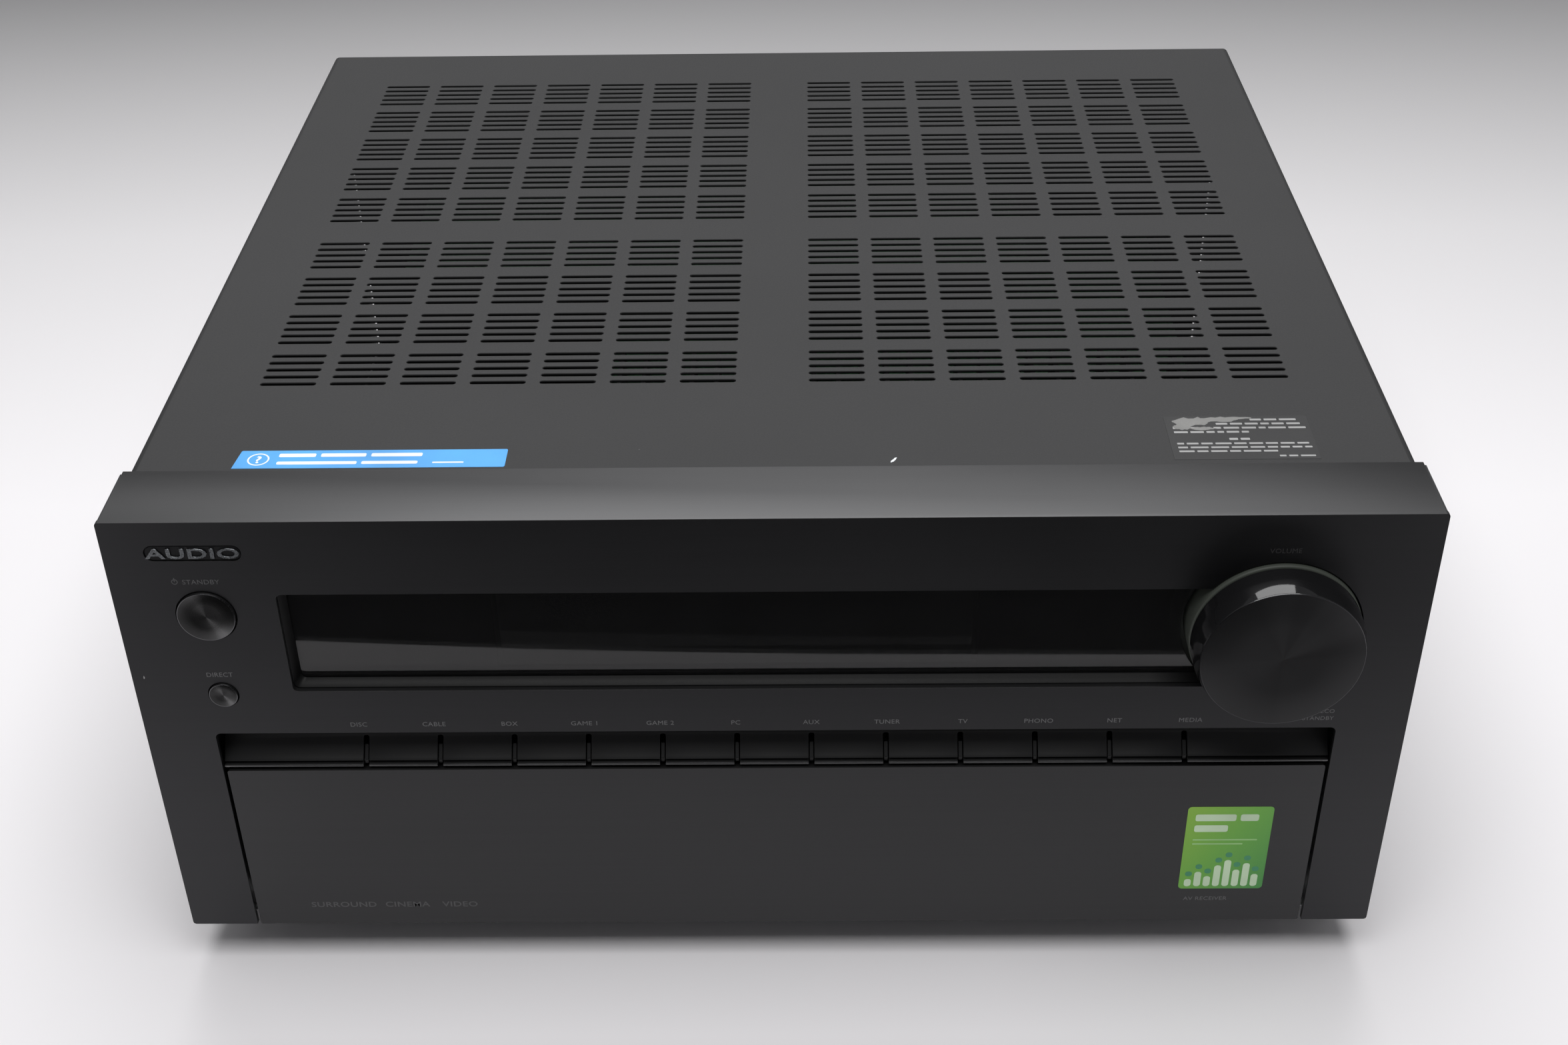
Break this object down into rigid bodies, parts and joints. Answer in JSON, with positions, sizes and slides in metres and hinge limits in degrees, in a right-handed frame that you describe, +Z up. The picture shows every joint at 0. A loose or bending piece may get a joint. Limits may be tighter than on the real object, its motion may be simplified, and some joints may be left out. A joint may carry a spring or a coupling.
{
  "type": "audio video receiver",
  "caption": "Full-width black AV receiver with a slotted top cover, display window, volume knob, push buttons, input keys and a drop-down front flap.",
  "frame": {"origin": "on the floor, under the centre of the overall box", "axes": "+Z up; the fascia faces -Y; +X is to the right of someone facing the fascia"},
  "size_m": [0.435, 0.4352, 0.1985],
  "materials": {
    "fascia_aluminium": "black anodised, fine horizontal hairline brush",
    "flap_aluminium": "black anodised, fine horizontal hairline brush",
    "cover_paint": "matte dark grey fine-texture paint",
    "black_moulding": "fine matte black moulding",
    "gloss_moulding": "polished black moulding",
    "smoked_window": "polished smoked acrylic",
    "display_glass": "dark display tube",
    "knob_metal": "spun black aluminium face, polished edge",
    "collar_metal": "polished black ring",
    "button_metal": "spun dark aluminium face",
    "key_plastic": "satin black key",
    "badge_metal": "dark satin plate",
    "shaft_steel": "turned steel",
    "bright_steel": "drawn steel pin",
    "screw_steel": "black zinc screw",
    "chassis_steel": "zinc-plated sheet",
    "rear_paint": "satin black paint",
    "foot_rubber": "matte moulded foot",
    "circuit_board": "green board",
    "encoder_body": "pressed steel can",
    "transformer_iron": "varnished laminations",
    "heatsink_aluminium": "black anodised fins",
    "capacitor_sleeve": "shrink sleeve",
    "socket_plastic": "moulded socket body",
    "socket_steel": "nickel-plated shell"
  },
  "bodies": {
    "chassis": {"front_panel": "fascia_aluminium", "top_cover": "cover_paint", "display_bezel": "black_moulding", "front_subframe": "black_moulding", "jack_panel": "black_moulding", "flap_catch": "black_moulding", "selector_strip": "gloss_moulding", "display_lens": "smoked_window", "vfd_display": "display_glass", "volume_collar": "collar_metal", "badge_plate": "badge_metal", "cover_screw_left_front": "screw_steel", "cover_screw_left_rear": "screw_steel", "cover_screw_right_front": "screw_steel", "cover_screw_right_rear": "screw_steel", "bottom_chassis": "chassis_steel", "rear_panel": "rear_paint", "foot_front_left": "foot_rubber", "foot_front_right": "foot_rubber", "foot_rear_left": "foot_rubber", "foot_rear_right": "foot_rubber", "display_pcb": "circuit_board", "selector_pcb": "circuit_board", "psu_pcb": "circuit_board", "amp_pcb": "circuit_board", "main_pcb": "circuit_board", "hdmi_pcb": "circuit_board", "volume_encoder": "encoder_body", "power_transformer": "transformer_iron", "heatsink": "heatsink_aluminium", "reservoir_capacitor_left": "capacitor_sleeve", "reservoir_capacitor_right": "capacitor_sleeve", "phones_jack": "socket_plastic", "front_av_jacks": "socket_plastic", "ac_inlet": "socket_plastic", "speaker_terminal_block": "socket_plastic", "rca_jack_block": "socket_plastic", "antenna_terminal": "socket_plastic", "front_hdmi_socket": "socket_steel", "hdmi_port_row": "socket_steel", "network_port": "socket_steel"},
    "volume_knob": {"volume_knob": "knob_metal", "knob_shaft": "shaft_steel"},
    "power_button": {"power_button": "button_metal"},
    "pure_audio_button": {"pure_audio_button": "button_metal"},
    "front_flap": {"front_flap": "flap_aluminium", "flap_hinge_pin_left": "bright_steel", "flap_hinge_pin_right": "bright_steel"},
    "input_key_1": {"input_key_1": "key_plastic"},
    "input_key_2": {"input_key_2": "key_plastic"},
    "input_key_3": {"input_key_3": "key_plastic"},
    "input_key_4": {"input_key_4": "key_plastic"},
    "input_key_5": {"input_key_5": "key_plastic"},
    "input_key_6": {"input_key_6": "key_plastic"},
    "input_key_7": {"input_key_7": "key_plastic"},
    "input_key_8": {"input_key_8": "key_plastic"},
    "input_key_9": {"input_key_9": "key_plastic"},
    "input_key_10": {"input_key_10": "key_plastic"},
    "input_key_11": {"input_key_11": "key_plastic"},
    "input_key_12": {"input_key_12": "key_plastic"}
  },
  "joints": [
    {"name": "volume_turn", "type": "hinge", "parent": "chassis", "child": "volume_knob", "pos_m": [0.1673, -0.20335, 0.15065], "axis": [0, 1, 0], "continuous": true},
    {"name": "power_press", "type": "slide", "parent": "chassis", "child": "power_button", "axis": [0, 1, 0], "range_m": [0, 0.0015], "stiffness_N_per_m": 600, "springref_m": -0.0005},
    {"name": "pure_audio_press", "type": "slide", "parent": "chassis", "child": "pure_audio_button", "axis": [0, 1, 0], "range_m": [0, 0.0012], "stiffness_N_per_m": 600, "springref_m": -0.0005},
    {"name": "flap_open", "type": "hinge", "parent": "chassis", "child": "front_flap", "pos_m": [0, -0.19885, 0.0215], "axis": [1, 0, 0], "range_deg": [0, 90]},
    {"name": "input_key_1_press", "type": "slide", "parent": "chassis", "child": "input_key_1", "axis": [0, 1, 0], "range_m": [0, 0.0008], "stiffness_N_per_m": 500, "springref_m": -0.0004},
    {"name": "input_key_2_press", "type": "slide", "parent": "chassis", "child": "input_key_2", "axis": [0, 1, 0], "range_m": [0, 0.0008], "stiffness_N_per_m": 500, "springref_m": -0.0004},
    {"name": "input_key_3_press", "type": "slide", "parent": "chassis", "child": "input_key_3", "axis": [0, 1, 0], "range_m": [0, 0.0008], "stiffness_N_per_m": 500, "springref_m": -0.0004},
    {"name": "input_key_4_press", "type": "slide", "parent": "chassis", "child": "input_key_4", "axis": [0, 1, 0], "range_m": [0, 0.0008], "stiffness_N_per_m": 500, "springref_m": -0.0004},
    {"name": "input_key_5_press", "type": "slide", "parent": "chassis", "child": "input_key_5", "axis": [0, 1, 0], "range_m": [0, 0.0008], "stiffness_N_per_m": 500, "springref_m": -0.0004},
    {"name": "input_key_6_press", "type": "slide", "parent": "chassis", "child": "input_key_6", "axis": [0, 1, 0], "range_m": [0, 0.0008], "stiffness_N_per_m": 500, "springref_m": -0.0004},
    {"name": "input_key_7_press", "type": "slide", "parent": "chassis", "child": "input_key_7", "axis": [0, 1, 0], "range_m": [0, 0.0008], "stiffness_N_per_m": 500, "springref_m": -0.0004},
    {"name": "input_key_8_press", "type": "slide", "parent": "chassis", "child": "input_key_8", "axis": [0, 1, 0], "range_m": [0, 0.0008], "stiffness_N_per_m": 500, "springref_m": -0.0004},
    {"name": "input_key_9_press", "type": "slide", "parent": "chassis", "child": "input_key_9", "axis": [0, 1, 0], "range_m": [0, 0.0008], "stiffness_N_per_m": 500, "springref_m": -0.0004},
    {"name": "input_key_10_press", "type": "slide", "parent": "chassis", "child": "input_key_10", "axis": [0, 1, 0], "range_m": [0, 0.0008], "stiffness_N_per_m": 500, "springref_m": -0.0004},
    {"name": "input_key_11_press", "type": "slide", "parent": "chassis", "child": "input_key_11", "axis": [0, 1, 0], "range_m": [0, 0.0008], "stiffness_N_per_m": 500, "springref_m": -0.0004},
    {"name": "input_key_12_press", "type": "slide", "parent": "chassis", "child": "input_key_12", "axis": [0, 1, 0], "range_m": [0, 0.0008], "stiffness_N_per_m": 500, "springref_m": -0.0004}
  ]
}
